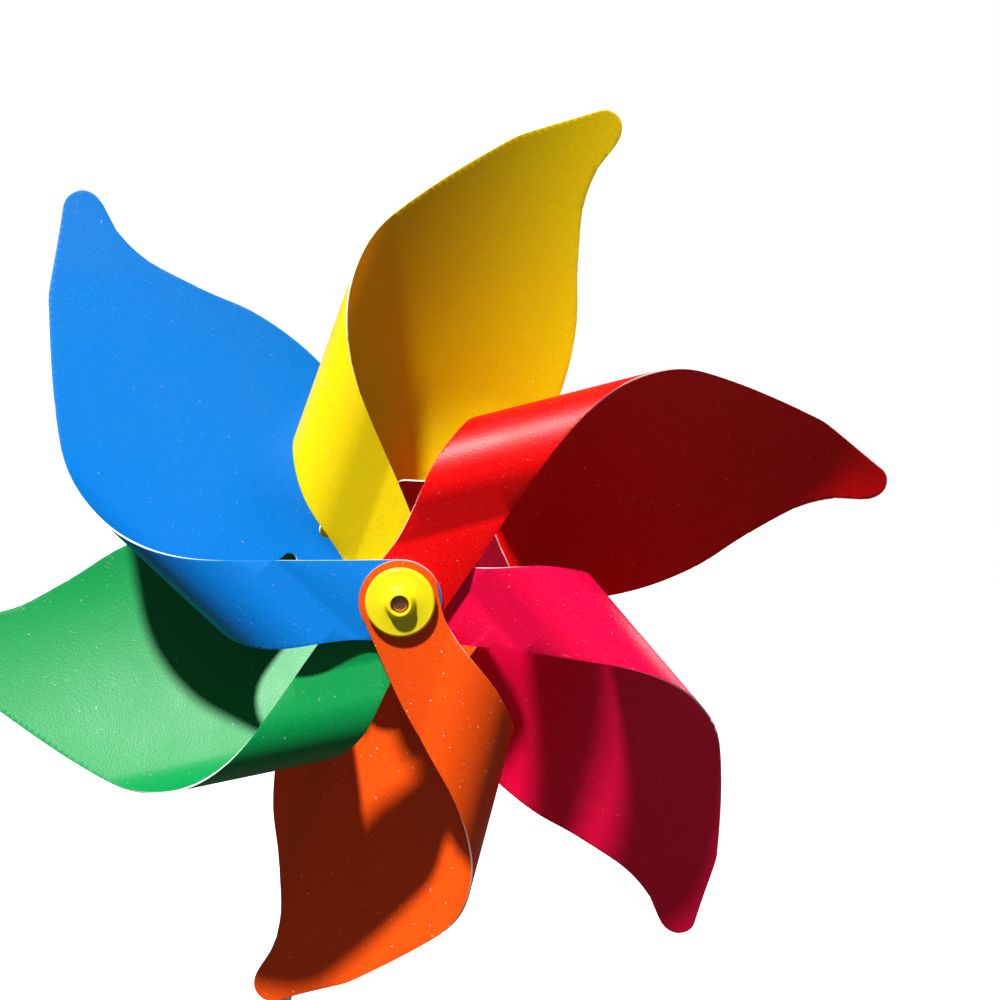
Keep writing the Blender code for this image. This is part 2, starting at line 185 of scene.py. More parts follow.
# ---- modelling helpers -----------------------------------------------------------------
def deselect():
    if bpy.context.mode != "OBJECT":
        bpy.ops.object.mode_set(mode="OBJECT")
    bpy.ops.object.select_all(action="DESELECT")


def select_only(obj):
    deselect()
    obj.select_set(True)
    bpy.context.view_layer.objects.active = obj


def apply_modifier(obj, kind, **values):
    """Adds one modifier to the object and applies it."""
    select_only(obj)
    bpy.ops.object.modifier_add(type=kind)
    modifier = obj.modifiers[-1]
    for name, value in values.items():
        setattr(modifier, name, value)
    bpy.ops.object.modifier_apply(modifier=modifier.name)


def settle(obj, angle=35):
    """Applies the object's place and shades it smooth up to the angle."""
    select_only(obj)
    bpy.ops.object.transform_apply(location=True, rotation=True, scale=True)
    bpy.ops.object.shade_smooth_by_angle(angle=radians(angle))
    deselect()


def hand_over(obj, node, body, *materials):
    """The piece takes the place of a node and moves with its body."""
    if materials:
        obj.data.materials.clear()
    for material in materials:
        obj.data.materials.append(material)
    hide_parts(node)
    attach(obj, body)


def arc(centre, radius, start, end, steps):
    """Points on an arc, with both ends, angles in degrees."""
    points = []
    for i in range(steps + 1):
        angle = radians(start + (end - start) * i / steps)
        points.append((centre[0] + radius * cos(angle), centre[1] + radius * sin(angle)))
    return points


def curve_through(points, steps):
    """A smooth curve through the points, without its two ends."""
    vectors = [Vector((x, y, 0.0)) for x, y in points]
    slopes = []
    for i in range(len(vectors)):
        before = vectors[max(i - 1, 0)]
        after = vectors[min(i + 1, len(vectors) - 1)]
        slopes.append((after - before).normalized())
    result = []
    for i in range(len(vectors) - 1):
        handle = (vectors[i + 1] - vectors[i]).length / 3
        piece = interpolate_bezier(vectors[i], vectors[i] + slopes[i] * handle,
                                   vectors[i + 1] - slopes[i + 1] * handle, vectors[i + 1], steps + 1)
        result.extend((p.x, p.y) for p in piece[:-1])
    return result[1:]


# ---- the petal -------------------------------------------------------------------------
# S is measured along the flat sheet, across the fold: the root's hole is at S = 0 and the
# strap's hole is at S = -length, both on T = 0. The fold's straight lines run along T.

def root_segments():
    """(length, turn) of the sheet beside the root's hole: its flat, then its bend."""
    return [(ROOT_FLAT, 0.0), (EASE_R * ROOT_PITCH, ROOT_PITCH)]


def fold_segments(rise, root_run):
    """(length, turn) along the sheet from the root's hole to the strap's hole."""
    ease_root = EASE_R * tan(ROOT_PITCH / 2)
    ease_strap = EASE_R * tan(STRAP_PITCH / 2)
    back = ROOT_FLAT + ease_root + root_run * cos(ROOT_PITCH) - STRAP_FLAT - ease_strap
    up = rise - root_run * sin(ROOT_PITCH)
    sines = sin(ROOT_PITCH) + sin(STRAP_PITCH)
    cosines = cos(ROOT_PITCH) + cos(STRAP_PITCH)
    radius = (up + back * tan(STRAP_PITCH)) / (cosines + sines * tan(STRAP_PITCH))
    run = (back - radius * sines) / cos(STRAP_PITCH)
    turn = pi - ROOT_PITCH + STRAP_PITCH
    return root_segments() + [
        (root_run - ease_root, 0.0),
        (radius * turn, turn),
        (run - ease_strap, 0.0),
        (EASE_R * STRAP_PITCH, -STRAP_PITCH),
        (STRAP_FLAT, 0.0),
    ]


def walk(distance, segments):
    """Place along a bent strip: (along, up, angle), straight on past its end."""
    along, up, angle, left = 0.0, 0.0, 0.0, distance
    for length, turn in segments + [(distance, 0.0)]:
        step = min(left, length)
        if abs(turn) < 1e-9:
            along += step * cos(angle)
            up += step * sin(angle)
        else:
            radius = length / turn
            swept = step / radius
            along += radius * (sin(angle + swept) - sin(angle))
            up += radius * (cos(angle) - cos(angle + swept))
            angle += swept
        left -= step
        if left <= 0.0:
            break
    return along, up


def relaxed_height(x, root_run):
    """Height of the free leaf: one even curve from the start of the fold to the trailing edge."""
    corner = ROOT_FLAT + EASE_R * tan(ROOT_PITCH / 2)
    fold_x, fold_up = -corner - root_run * cos(ROOT_PITCH), root_run * sin(ROOT_PITCH)
    end_up = -(LEAF_END - corner) * tan(ROOT_PITCH)
    reach = LEAF_END - fold_x
    slope = -tan(ROOT_PITCH)
    curve = (end_up - fold_up - slope * reach) / reach ** 2
    return fold_up + slope * (x - fold_x) + curve * (x - fold_x) ** 2


def bent_place(s, t, fold, root_run):
    """Where a point of the flat sheet is on the folded petal."""
    if s <= 0.0:
        along, up = walk(-s, fold)
        x = -along
    else:
        x, down = walk(s, root_segments())
        up = -down
    on_leaf = -s < sum(length for length, turn in fold[:3])
    if on_leaf and t > CLAMPED_T:
        free = min((t - CLAMPED_T) / (FREE_T - CLAMPED_T), 1.0)
        free = free * free * (3 - 2 * free)
        up += free * (relaxed_height(x, root_run) - up)
    return Vector((x, -up, t))


def crease_lines(fold, crease):
    """The values of S where the flat sheet is creased: evenly on the leaf, and by the turn beyond."""
    start = sum(length for length, turn in fold[:3])
    lines = [-start + (start + LEAF_END + 4.0) * i / LEAF_ROWS for i in range(LEAF_ROWS + 1)]
    for length, turn in fold[3:-1]:
        pieces = max(1, ceil(abs(turn) / crease))
        lines.extend(-(start + length * i / pieces) for i in range(1, pieces + 1))
        start += length
    return lines


def petal_outline(length):
    """Outline of the flat petal, counterclockwise."""
    outline = arc((-length, 0.0), STRAP_LOBE_R, 135, 315, 36)
    # inner edge of the strap, then along the foot of the leaf to the head of the notch
    outline += curve_through([outline[-1], (-71.5, 2.6), (-59.0, 12.6), (-48.5, 22.0), (-38.0, 25.6),
                              (-27.0, 24.0), (-18.2, 23.0)], 9)
    outline += arc((-18.0, 21.4), 1.6, 90, -50, 10)
    # down the edge of the leg, round its corner, and in to the root
    outline += curve_through([outline[-1], (-21.6, 15.5), (-25.4, 7.0)], 5)
    outline += arc((-23.9, 4.9), 2.4, 160, 270, 10)
    outline += arc((0.0, 0.0), ROOT_LOBE_R, 160, 470, 60)
    # the leg's inner edge and the trailing edge of the leaf, up to the tip
    outline += curve_through([outline[-1], (-5.7, 12.2), (-4.9, 14.6), (1.3, 18.6), (10.0, 23.6),
                              (17.5, 26.6), (21.6, 36.0), (23.2, 52.0), (20.4, 66.5),
                              (14.2, 79.0), (9.6, 91.0), (9.2, 101.0), (12.0, 109.4)], 8)
    outline += arc((TIP_S, TIP_T), TIP_R, -10, 130, 24)
    # leading edge, back to the strap's end
    outline += curve_through([outline[-1], (-12.1, 100.0), (-28.9, 84.0), (-40.6, 70.0), (-50.4, 54.0),
                              (-61.5, 38.0), (-76.3, 22.0), outline[0]], 12)
    return outline


def cut_petal(name, length):
    """The flat petal with its two punched holes, cut from the sheet as one filled curve."""
    deselect()
    bpy.ops.curve.primitive_nurbs_path_add(radius=MM, location=(0.0, 0.0, 0.0))
    blank = bpy.context.object
    blank.name = name
    drawing = blank.data
    drawing.splines.clear()
    drawing.dimensions = "2D"
    drawing.fill_mode = "BOTH"
    loops = [petal_outline(length), arc((0.0, 0.0), HOLE_R, 0, 360, 40)[:-1],
             arc((-length, 0.0), HOLE_R, 0, 360, 40)[:-1]]
    for loop in loops:
        spline = drawing.splines.new("POLY")
        spline.points.add(len(loop) - 1)
        for point, (s, t) in zip(spline.points, loop):
            point.co = (s * MM, t * MM, 0.0, 1.0)
        spline.use_cyclic_u = True
    bpy.ops.object.convert(target="MESH")
    sheet = bpy.context.object
    sheet.name = name
    return sheet


def crease_and_bend(sheet, fold, root_run, crease):
    """Creases the flat sheet, keeps its flat place as a UV map, and bends it round the fold."""
    select_only(sheet)
    bpy.ops.object.mode_set(mode="EDIT")
    bpy.ops.mesh.select_all(action="SELECT")
    bpy.ops.mesh.remove_doubles(threshold=1e-6)
    bpy.ops.mesh.normals_make_consistent(inside=False)
    for s in crease_lines(fold, crease):
        bpy.ops.mesh.select_all(action="SELECT")
        bpy.ops.mesh.bisect(plane_co=(s * MM, 0.0, 0.0), plane_no=(1.0, 0.0, 0.0), threshold=1e-6)
    for row in range(CROSS_ROWS):
        t = CLAMPED_T + (FREE_T - CLAMPED_T) * row / (CROSS_ROWS - 1)
        bpy.ops.mesh.select_all(action="SELECT")
        bpy.ops.mesh.bisect(plane_co=(0.0, t * MM, 0.0), plane_no=(0.0, 1.0, 0.0), threshold=1e-6)
    bpy.ops.mesh.select_all(action="SELECT")
    bpy.ops.mesh.remove_doubles(threshold=0.12 * MM)
    bpy.ops.object.mode_set(mode="OBJECT")
    mesh = sheet.data
    flat = mesh.uv_layers.new(name="flat")
    for loop in mesh.loops:
        place = mesh.vertices[loop.vertex_index].co
        flat.data[loop.index].uv = (place.x / (100 * MM) + 1.0, place.y / (100 * MM) + 0.2)
    for vertex in mesh.vertices:
        vertex.co = bent_place(vertex.co.x / MM, vertex.co.y / MM, fold, root_run) * MM


def build_petal(index, settings, materials):
    colour_name, off, rear_layer, front_layer, shorter = PETALS[index]
    root_run = ROOT_RUN - shorter
    fold = fold_segments(HUB_SPACING + LAYER * (front_layer - rear_layer), root_run)
    petal = cut_petal("petal_" + colour_name, sum(length for length, turn in fold))
    crease_and_bend(petal, fold, root_run, settings.crease)
    petal.data.materials.clear()
    for material in materials:
        petal.data.materials.append(material)
    apply_modifier(petal, "SOLIDIFY", thickness=SHEET * MM, offset=0.0, material_offset_rim=1)
    apply_modifier(petal, "BEVEL", width=settings.edge_round, segments=2, limit_method="ANGLE",
                   angle_limit=radians(60))
    angle = RED_ANGLE + index * 360 / len(PETALS) + off
    petal.rotation_euler = (0.0, radians(90 - angle), 0.0)
    petal.location = AXIS + Vector((0.0, -(rear_layer * LAYER + SHEET / 2) * MM, 0.0))
    settle(petal)
    hand_over(petal, "blade_" + colour_name, "rotor")


# ---- turned pieces ---------------------------------------------------------------------
def turned(name, profile, axis, sides, edge_round=0.0):
    """A turned piece from a closed profile of (radius, place along the axis) points, in metres.

    A ring is drawn out from one point of the profile to the next. A profile that starts and
    ends on the axis makes a solid piece, and any other makes a bored one.
    """
    solid = profile[0][0] < 1e-9
    rings = profile[1:-1] if solid else profile
    radius, place = rings[0]
    deselect()
    bpy.ops.mesh.primitive_circle_add(vertices=sides, radius=radius, location=(0.0, 0.0, place),
                                      fill_type="NGON" if solid else "NOTHING")
    piece = bpy.context.object
    piece.name = name
    bpy.ops.object.transform_apply(location=True, rotation=False, scale=False)
    bpy.ops.object.mode_set(mode="EDIT")
    bpy.ops.mesh.select_all(action="SELECT")
    following = rings[1:] if solid else rings[1:] + rings[:1]
    for next_radius, next_place in following:
        bpy.ops.mesh.extrude_region_move(
            TRANSFORM_OT_translate={"value": (0.0, 0.0, next_place - place)})
        scale = next_radius / radius
        bpy.ops.transform.resize(value=(scale, scale, 1.0), center_override=(0.0, 0.0, next_place))
        radius, place = next_radius, next_place
    bpy.ops.mesh.select_all(action="SELECT")
    bpy.ops.mesh.remove_doubles(threshold=1e-6)
    bpy.ops.mesh.select_all(action="SELECT")
    bpy.ops.mesh.normals_make_consistent(inside=False)
    bpy.ops.object.mode_set(mode="OBJECT")
    if edge_round > 0.0:
        apply_modifier(piece, "BEVEL", width=edge_round, segments=3, limit_method="ANGLE",
                       angle_limit=radians(25))
    if axis == "Y":
        piece.rotation_euler = (radians(90), 0.0, 0.0)
    return piece


def cap_profile(node):
    """(outer radius, rear face, front face) of a node round the rotor's axis, in metres.

    Places are measured forwards from the rotor's centre, towards -Y.
    """
    low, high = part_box(node)
    return (high.x - low.x) / 2, AXIS.y - high.y, AXIS.y - low.y


def build_front_cap(settings):
    outer, rear, front = cap_profile("front_cap")
    face = rear + DISC_T * MM
    socket, recess = rear + SOCKET * MM, rear + RECESS * MM
    nose, bore, head_bore = settings.nose_radius, settings.bore_radius, HEAD_BORE_R * MM
    profile = [
        (HOLE_R * MM, rear), (outer, rear), (outer, face - EDGE * MM), (outer - EDGE * MM, face),
        (nose + NOSE_FLARE * MM, face), (nose + 0.2 * MM, face + 0.3 * MM),
        (nose, face + 0.9 * MM), (nose - 0.25 * MM, face + 1.1 * MM),
        (nose - 0.35 * MM, front - EDGE * MM), (nose - 0.65 * MM, front),
        (head_bore, front), (head_bore, recess), (bore, recess), (bore, socket), (HOLE_R * MM, socket),
    ]
    cap = turned("cap_front", profile, "Y", settings.sides, settings.edge_round)
    cap.location = AXIS
    settle(cap)
    return cap


def build_rear_cap(settings):
    outer, rear, front = cap_profile("rear_cap")
    disc, socket = front - DISC_T * MM, front - SOCKET * MM
    collar, bore = COLLAR_R * MM, settings.bore_radius
    profile = [
        (HOLE_R * MM, front), (HOLE_R * MM, socket), (bore, socket), (bore, rear), (collar, rear),
        (collar + 0.3 * MM, disc), (outer - EDGE * MM, disc), (outer, disc + EDGE * MM), (outer, front),
    ]
    cap = turned("cap_rear", profile, "Y", settings.sides, settings.edge_round)
    cap.location = AXIS
    settle(cap)
    return cap


def build_core(settings):
    outer, rear, front = cap_profile("hub_core")
    spigot, waist, bore = SPIGOT_R * MM, WAIST_R * MM, settings.bore_radius
    stack = LAYER * (len(PETALS) - 1) * MM + SHEET * MM
    low, high = stack + GAP * MM, (HUB_SPACING - GAP) * MM
    shoulder, slope = SHOULDER_L * MM, SLOPE_L * MM
    profile = [
        (bore, rear), (spigot, rear), (spigot, low), (outer, low), (outer, low + shoulder),
        (waist, low + slope), (waist, high - slope), (outer, high - shoulder), (outer, high),
        (spigot, high), (spigot, front), (bore, front),
    ]
    core = turned("core", profile, "Y", settings.sides, settings.edge_round / 2)
    core.location = AXIS
    settle(core)
    return core


def build_bead(settings):
    outer, rear, front = cap_profile("spacer_bead")
    middle, half = (rear + front) / 2, (front - rear) / 2
    crown = [(outer - BEAD_CROWN * MM + BEAD_CROWN * MM * sin(radians(a)),
              middle + cos(radians(a)) * half) for a in range(0, 181, 15)]
    profile = [(settings.bore_radius, front)] + crown + [(settings.bore_radius, rear)]
    bead = turned("bead", profile, "Y", settings.sides)
    bead.location = AXIS
    settle(bead)
    return bead


def build_pin(settings):
    outer, rear, front = cap_profile("axle_pin")
    seat, wire = front - PIN_HEAD_L * MM, PIN_R * MM
    profile = [
        (0.0, front), (outer - 0.5 * MM, front), (outer - 0.15 * MM, front - 0.12 * MM),
        (outer, front - 0.35 * MM), (outer, seat), (wire, seat), (wire, rear + 0.4 * MM),
        (wire - 0.15 * MM, rear + 0.12 * MM), (wire - 0.4 * MM, rear), (0.0, rear),
    ]
    pin = turned("pin", profile, "Y", settings.sides)
    pin.location = AXIS
    settle(pin)
    return pin


def build_stop(settings):
    outer, rear, front = cap_profile("rear_stop")
    bore = PIN_HOLE_R * MM
    profile = [(bore, front), (outer, front), (outer, rear + 0.6 * MM),
               (outer - 0.7 * MM, rear), (bore, rear)]
    stop = turned("stop", profile, "Y", settings.sides, settings.edge_round)
    stop.location = AXIS
    settle(stop)
    return stop


def build_stick_head(settings, fillet):
    """Sleeve and boss joined in one moulding, with soft fillets where they meet."""
    low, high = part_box("stick_head")
    sleeve_r = (high.x - low.x) / 2
    stick_low, stick_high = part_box("stick")
    socket_r = (stick_high.x - stick_low.x) / 2 + GAP * MM
    roof = stick_high.z + GAP * MM
    boss_r = BOSS_R * MM
    sleeve = turned("stick_top", [
        (0.0, high.z), (sleeve_r - 1.0 * MM, high.z), (sleeve_r, high.z - 1.0 * MM),
        (sleeve_r, low.z + 0.8 * MM), (sleeve_r - 0.4 * MM, low.z), (socket_r, low.z),
        (socket_r, roof), (0.0, roof)], "Z", settings.sides)
    boss = turned("boss_tool", [
        (0.0, -high.y), (boss_r - EDGE * MM, -high.y), (boss_r, -high.y + EDGE * MM),
        (boss_r, -low.y - EDGE * MM), (boss_r - EDGE * MM, -low.y), (0.0, -low.y)], "Y", settings.sides)
    reach, hole = 12 * MM, PIN_HOLE_R * MM
    bore = turned("bore_tool", [(0.0, -reach), (hole, -reach), (hole, reach), (0.0, reach)],
                  "Y", settings.sides)
    for tool in (boss, bore):
        tool.location.z = AXIS.z
    apply_modifier(sleeve, "BOOLEAN", object=boss, operation="UNION")
    apply_modifier(sleeve, "BOOLEAN", object=bore, operation="DIFFERENCE")
    for tool in (boss, bore):
        bpy.data.objects.remove(tool, do_unlink=True)
    apply_modifier(sleeve, "REMESH", mode="VOXEL", voxel_size=fillet)
    apply_modifier(sleeve, "SMOOTH", factor=0.5, iterations=5)
    settle(sleeve, 60)
    return sleeve


def build_stick(settings, wall):
    low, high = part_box("stick")
    outer = (high.x - low.x) / 2
    profile = [(outer - wall, low.z), (outer, low.z), (outer, high.z), (outer - wall, high.z)]
    stick = turned("tube", profile, "Z", settings.sides, settings.edge_round)
    settle(stick)
    return stick


def build_plug(settings):
    low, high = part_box("stick_plug")
    flange = (high.x - low.x) / 2
    shank = PLUG_R * MM
    step = low.z + PLUG_FLANGE * MM
    profile = [
        (0.0, low.z), (flange - EDGE * MM, low.z), (flange, low.z + EDGE * MM), (flange, step), (shank, step),
        (shank, high.z - 1.0 * MM), (shank - 0.5 * MM, high.z), (0.0, high.z),
    ]
    plug = turned("foot_plug", profile, "Z", settings.sides, settings.edge_round)
    settle(plug)
    return plug


# ---- shader groups ---------------------------------------------------------------------
def new_group(name, inputs, outputs):
    """An empty shader group with named sockets: (group, input node, output node)."""
    group = bpy.data.node_groups.new(name, "ShaderNodeTree")
    for label, default in inputs:
        socket = group.interface.new_socket(name=label, in_out="INPUT", socket_type="NodeSocketFloat")
        socket.default_value = default
    for label in outputs:
        group.interface.new_socket(name=label, in_out="OUTPUT", socket_type="NodeSocketFloat")
    return group, group.nodes.new("NodeGroupInput"), group.nodes.new("NodeGroupOutput")


def add_node(tree, kind, place=(0, 0), **values):
    node = tree.nodes.new(kind)
    node.location = place
    for name, value in values.items():
        setattr(node, name, value)
    return node


def maths(tree, operation, first, second, place=(0, 0)):
    node = add_node(tree, "ShaderNodeMath", place, operation=operation)
    for socket, value in zip(node.inputs, (first, second)):
        if isinstance(value, (int, float)):
            socket.default_value = value
        else:
            tree.links.new(value, socket)
    return node.outputs["Value"]


def range_of(tree, value, low, high, to_low, to_high, place=(0, 0)):
    """The value mapped from one range to another, clamped."""
    node = add_node(tree, "ShaderNodeMapRange", place)
    for label, number in (("From Min", low), ("From Max", high), ("To Min", to_low), ("To Max", to_high)):
        node.inputs[label].default_value = number
    tree.links.new(value, node.inputs["Value"])
    return node.outputs["Result"]


def noise_of(tree, coordinates, size, detail, roughness, place=(0, 0)):
    """Noise with lumps of about that size, in metres."""
    node = add_node(tree, "ShaderNodeTexNoise", place)
    node.inputs["Detail"].default_value = detail
    node.inputs["Roughness"].default_value = roughness
    tree.links.new(coordinates, node.inputs["Vector"])
    tree.links.new(maths(tree, "DIVIDE", 1.0, size, (place[0] - 180, place[1] - 120)), node.inputs["Scale"])
    return node.outputs["Fac"]


def calendered_grain():
    """Fine grain of rolled sheet: the height of the grain, pale specks that paint in the sparkle of the
    sheen, and slow unevenness.
    """
    group, entry, end = new_group(
        "Calendered grain", [("Grain size", 0.0005), ("Patch size", 0.02)],
        ["Height", "Flecks", "Unevenness"])
    place = add_node(group, "ShaderNodeTexCoord", (-900, 0)).outputs["Object"]
    grain = noise_of(group, place, entry.outputs["Grain size"], 3.0, 0.6, (-500, 200))
    patch = noise_of(group, place, entry.outputs["Patch size"], 3.0, 0.55, (-500, -250))
    group.links.new(range_of(group, grain, 0.3, 0.7, 0.0, 1.0, (-200, 200)), end.inputs["Height"])
    group.links.new(range_of(group, grain, 0.56, 0.70, 0.0, 1.0, (-200, 0)), end.inputs["Flecks"])
    group.links.new(range_of(group, patch, 0.3, 0.7, 0.0, 1.0, (-200, -250)), end.inputs["Unevenness"])
    return group


def handling_marks():
    """Marks that handling leaves: thin scratches, rubbed dots and dust, as masks from 0 to 1."""
    group, entry, end = new_group(
        "Handling marks", [("Amount", 0.2), ("Scratch length", 0.006), ("Seed", 0.0)],
        ["Scratches", "Rubs", "Dust"])
    place = add_node(group, "ShaderNodeTexCoord", (-1300, 0)).outputs["Object"]
    shifted = add_node(group, "ShaderNodeVectorMath", (-1100, 0), operation="ADD")
    group.links.new(place, shifted.inputs[0])
    group.links.new(entry.outputs["Seed"], shifted.inputs[1])
    where = shifted.outputs["Vector"]
    stretched = add_node(group, "ShaderNodeMapping", (-900, 250))
    stretched.inputs["Rotation"].default_value = (0.4, 0.9, 0.3)
    stretched.inputs["Scale"].default_value = (1.0, 14.0, 14.0)
    group.links.new(where, stretched.inputs["Vector"])
    lines = noise_of(group, stretched.outputs["Vector"], entry.outputs["Scratch length"], 2.0, 0.5,
                     (-600, 250))
    broad = noise_of(group, where, 0.011, 4.0, 0.65, (-600, 0))
    rubbed = noise_of(group, where, 0.0016, 4.0, 0.7, (-600, -200))
    specks = noise_of(group, where, 0.0009, 1.0, 0.5, (-600, -400))
    few = range_of(group, broad, 0.50, 0.66, 0.0, 1.0, (-300, 0))
    scratch = range_of(group, lines, 0.705, 0.735, 0.0, 1.0, (-300, 250))
    rub = range_of(group, rubbed, 0.66, 0.72, 0.0, 1.0, (-300, -200))
    dust = range_of(group, specks, 0.76, 0.79, 0.0, 1.0, (-300, -400))
    amount = entry.outputs["Amount"]
    for mask, label in ((maths(group, "MULTIPLY", scratch, few), "Scratches"),
                        (maths(group, "MULTIPLY", rub, few), "Rubs"), (dust, "Dust")):
        group.links.new(maths(group, "MULTIPLY", mask, amount), end.inputs[label])
    return group


def place_group(tree, group, place, **values):
    node = add_node(tree, "ShaderNodeGroup", place, node_tree=group)
    for label, value in values.items():
        node.inputs[label.replace("_", " ")].default_value = value
    return node


def mixed(tree, factor, first, second, place=(0, 0)):
    """Two colours mixed by a mask. A colour is a socket or three numbers."""
    node = add_node(tree, "ShaderNodeMix", place, data_type="RGBA")
    tree.links.new(factor, node.inputs["Factor"])
    for label, value in (("A", first), ("B", second)):
        socket = next(s for s in node.inputs if s.name == label and s.type == "RGBA")
        if isinstance(value, bpy.types.NodeSocket):
            tree.links.new(value, socket)
        else:
            socket.default_value = (*value, 1.0)
    return next(s for s in node.outputs if s.type == "RGBA")


def new_material(name, roughness, metallic=0.0):
    material = bpy.data.materials.new(name)
    material.use_nodes = True
    shader = material.node_tree.nodes["Principled BSDF"]
    shader.inputs["Roughness"].default_value = roughness
    shader.inputs["Metallic"].default_value = metallic
    return material, material.node_tree, shader


def scaled(colour, factor):
    return tuple(min(1.0, channel * factor) for channel in colour)


def towards(colour, other, share):
    return tuple(a + (b - a) * share for a, b in zip(colour, other))


def sheet_material(name, colour, groups, grain, marks, see_through, seed):
    """Satin PVC sheet that light soaks into: fine grain with a painted sparkle of pale specks, scratches,
    rubs and dust.
    """
    material, tree, shader = new_material(name, 0.4)
    texture = place_group(tree, groups["grain"], (-900, 0), Grain_size=grain, Patch_size=0.018)
    wear = place_group(tree, groups["marks"], (-900, -300), Amount=marks, Scratch_length=0.005, Seed=seed)
    uneven = range_of(tree, texture.outputs["Unevenness"], 0.0, 1.0, 0.0, 0.35, (-650, 200))
    base = mixed(tree, uneven, colour, scaled(colour, 0.90), (-450, 200))
    # pale specks mixed into the base colour: a painted sparkle standing for the glints of the sheen
    painted_sparkle = range_of(tree, texture.outputs["Flecks"], 0.0, 1.0, 0.0, 0.015, (-650, 0))
    base = mixed(tree, painted_sparkle, base, (0.9, 0.9, 0.9), (-300, 200))
    pale = towards(colour, (0.95, 0.93, 0.90), 0.75)
    for label in ("Scratches", "Rubs", "Dust"):
        base = mixed(tree, wear.outputs[label], base, pale, (-150, 200))
    tree.links.new(base, shader.inputs["Base Color"])
    rough = range_of(tree, texture.outputs["Unevenness"], 0.0, 1.0, 0.36, 0.46, (-450, -50))
    rough = maths(tree, "ADD", rough, maths(tree, "MULTIPLY", wear.outputs["Rubs"], 0.3), (-200, -50))
    tree.links.new(rough, shader.inputs["Roughness"])
    bump = add_node(tree, "ShaderNodeBump", (-250, -300))
    bump.inputs["Strength"].default_value = 0.55
    bump.inputs["Distance"].default_value = 0.00004
    tree.links.new(texture.outputs["Height"], bump.inputs["Height"])
    tree.links.new(bump.outputs["Normal"], shader.inputs["Normal"])
    shader.inputs["Specular IOR Level"].default_value = 0.24
    shader.inputs["Subsurface Weight"].default_value = see_through
    shader.inputs["Subsurface Scale"].default_value = 0.0012
    shader.inputs["Subsurface Radius"].default_value = (1.0, 0.6, 0.35)
    return material


def cut_edge_highlight_material(name, colour, groups):
    """The die-cut edge, painted pale all round: partly whitening where the blade has stressed the sheet,
    partly a painted highlight of the lit edge.
    """
    material, tree, shader = new_material(name, 0.55)
    texture = place_group(tree, groups["grain"], (-700, 0), Grain_size=0.0006, Patch_size=0.006)
    # pale edge colours: real stress whitening plus a painted highlight along every cut edge
    pale = towards(colour, (1.0, 0.97, 0.92), 0.62)
    paler = towards(colour, (1.0, 0.98, 0.95), 0.82)
    base = mixed(tree, texture.outputs["Unevenness"], pale, paler, (-300, 100))
    tree.links.new(base, shader.inputs["Base Color"])
    tree.links.new(range_of(tree, texture.outputs["Height"], 0.0, 1.0, 0.45, 0.65, (-300, -100)),
                   shader.inputs["Roughness"])
    return material


def moulded_material(name, colour, groups, roughness, marks):
    """Injection-moulded plastic: faint ripple, fine grain in the gloss and light handling marks."""
    material, tree, shader = new_material(name, roughness)
    texture = place_group(tree, groups["grain"], (-900, 0), Grain_size=0.0003, Patch_size=0.004)
    wear = place_group(tree, groups["marks"], (-900, -300), Amount=marks, Scratch_length=0.004, Seed=3.0)
    uneven = range_of(tree, texture.outputs["Unevenness"], 0.0, 1.0, 0.0, 0.4, (-650, 200))
    base = mixed(tree, uneven, colour, scaled(colour, 0.9), (-450, 200))
    base = mixed(tree, wear.outputs["Scratches"], base, scaled(colour, 0.75), (-300, 200))
    base = mixed(tree, wear.outputs["Dust"], base, (0.8, 0.78, 0.74), (-150, 200))
    tree.links.new(base, shader.inputs["Base Color"])
    rough = range_of(tree, texture.outputs["Unevenness"], 0.0, 1.0, roughness - 0.05, roughness + 0.07,
                     (-450, -50))
    tree.links.new(rough, shader.inputs["Roughness"])
    bump = add_node(tree, "ShaderNodeBump", (-250, -300))
    bump.inputs["Strength"].default_value = 0.25
    bump.inputs["Distance"].default_value = 0.00003
    tree.links.new(texture.outputs["Height"], bump.inputs["Height"])
    tree.links.new(bump.outputs["Normal"], shader.inputs["Normal"])
    return material


def wire_material(name, colour, groups):
    """Drawn wire with a faint uneven tone and a dulled surface."""
    material, tree, shader = new_material(name, 0.35, 1.0)
    texture = place_group(tree, groups["grain"], (-700, 0), Grain_size=0.00025, Patch_size=0.003)
    base = mixed(tree, texture.outputs["Unevenness"], colour, scaled(colour, 0.7), (-300, 100))
    tree.links.new(base, shader.inputs["Base Color"])
    tree.links.new(range_of(tree, texture.outputs["Height"], 0.0, 1.0, 0.28, 0.48, (-300, -100)),
                   shader.inputs["Roughness"])
    return material


def shared_groups():
    """The two effects that the materials share, built once."""
    found = {"grain": bpy.data.node_groups.get("Calendered grain"),
             "marks": bpy.data.node_groups.get("Handling marks")}
    if found["grain"] is None:
        found["grain"] = calendered_grain()
    if found["marks"] is None:
        found["marks"] = handling_marks()
    return found


# ---- operators -------------------------------------------------------------------------
# colour name: how worn the petal is, and how much light soaks into it
PETAL_FINISH = {"red": (0.25, 0.1), "yellow": (0.3, 0.7), "blue": (0.15, 0.15), "green": (0.3, 0.1),
                "orange": (0.8, 0.35), "pink": (0.15, 0.2)}


class PINWHEEL_OT_petals(bpy.types.Operator):
    """Builds the six folded petals"""
    bl_idname = "pinwheel.petals"
    bl_label = "Petals"

    def execute(self, context):
        settings = context.scene.pinwheel_petals
        groups = shared_groups()
        for index, petal in enumerate(PETALS):
            name = petal[0]
            colour = tuple(getattr(settings, name))
            marks, see_through = PETAL_FINISH[name]
            face = sheet_material("sheet_" + name, colour, groups, settings.grain, marks, see_through,
                                  index)
            # the edge material is pale from stress whitening and from a painted highlight
            edge = cut_edge_highlight_material("edge_" + name, colour, groups)
            build_petal(index, settings, (face, edge))
        return {"FINISHED"}


